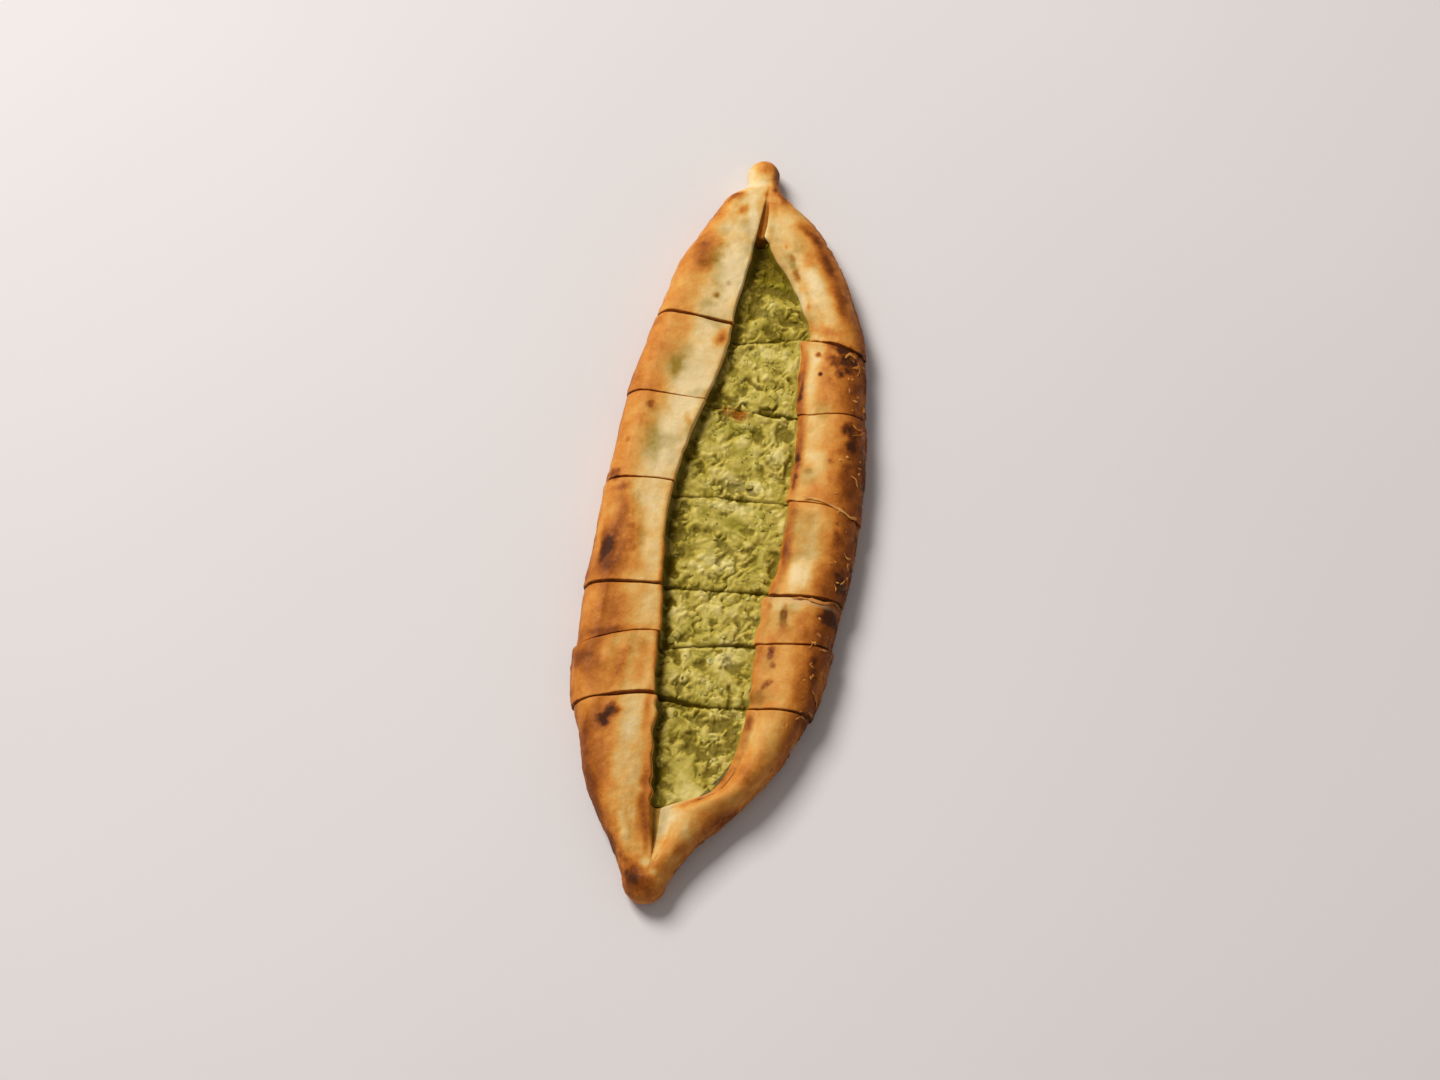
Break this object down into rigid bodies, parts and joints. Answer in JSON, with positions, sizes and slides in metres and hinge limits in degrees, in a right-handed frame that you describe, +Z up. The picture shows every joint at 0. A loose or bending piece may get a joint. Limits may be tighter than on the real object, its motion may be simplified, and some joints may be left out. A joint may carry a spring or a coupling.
{
  "type": "halloumi manakish",
  "caption": "Boat-shaped flatbread with folded-in sides and pinched ends round a crumbled green cheese and herb filling, cut across into slices that lie together.",
  "frame": {"origin": "bottom centre of the whole bread's box, on the surface it lies on", "axes": "+X across the bread, to the right in the picture; +Y along it, from the browner knob nearest the camera to the paler far knob; +Z up"},
  "size_m": [0.1188, 0.3646, 0.0224],
  "materials": {
    "crust": "baked dough, matte with a slight sheen where it browned",
    "filling": "moist crumbled cheese with chopped herbs"
  },
  "bodies": {
    "root": {"crust_1": "crust", "crust_2": "crust", "crust_3": "crust", "crust_4": "crust", "crust_5": "crust", "crust_6": "crust", "crust_7": "crust", "filling_1": "filling", "filling_2": "filling", "filling_3": "filling", "filling_4": "filling", "filling_5": "filling", "filling_6": "filling", "filling_7": "filling"}
  },
  "joints": []
}
